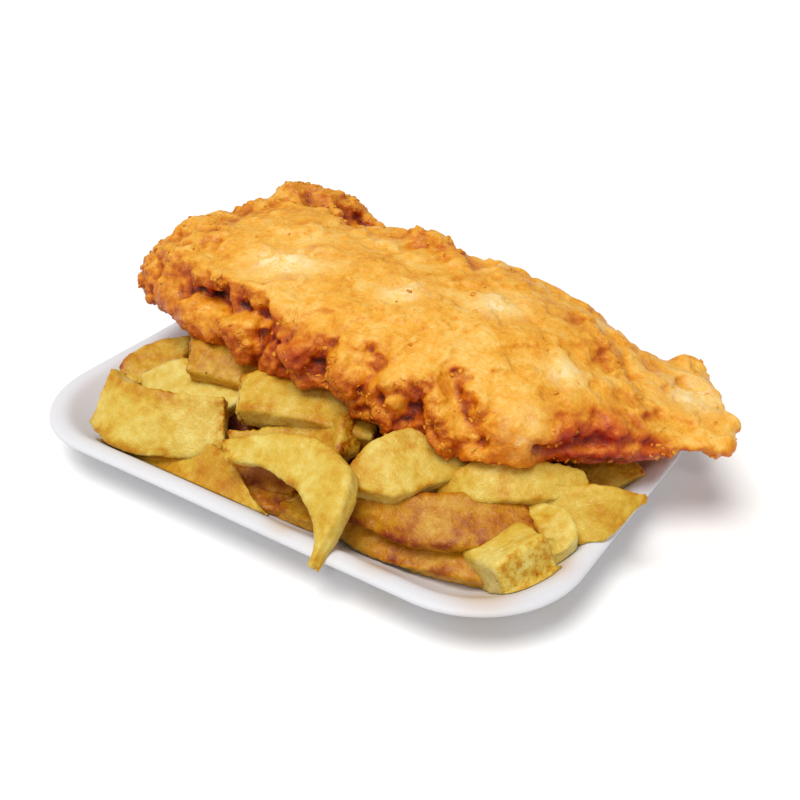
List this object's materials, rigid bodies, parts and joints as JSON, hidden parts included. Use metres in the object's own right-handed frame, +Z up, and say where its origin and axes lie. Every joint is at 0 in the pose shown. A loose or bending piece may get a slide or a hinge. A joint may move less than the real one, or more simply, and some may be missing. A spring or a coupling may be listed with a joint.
{
  "type": "fish and chips",
  "caption": "Battered fish lying on a heap of thick-cut chips in a shallow moulded white takeaway tray with a rolled lip.",
  "frame": {"origin": "the centre of the tray's flat underside", "axes": "+X along the tray's long side towards the fish's tail, +Y to the back edge of the tray, +Z up"},
  "size_m": [0.2625, 0.1768, 0.0817],
  "materials": {
    "tray": "matte white moulded foam, faintly stained with oil by the chips",
    "chips": "fried potato, pale yellow faces with browned edges, slightly greasy",
    "batter": "craggy fried batter, pale gold on top and orange brown along the lower edge, greasy sheen"
  },
  "bodies": {
    "root": {"tray": "tray", "chip_heap": "chips", "battered_fish": "batter"}
  },
  "joints": []
}
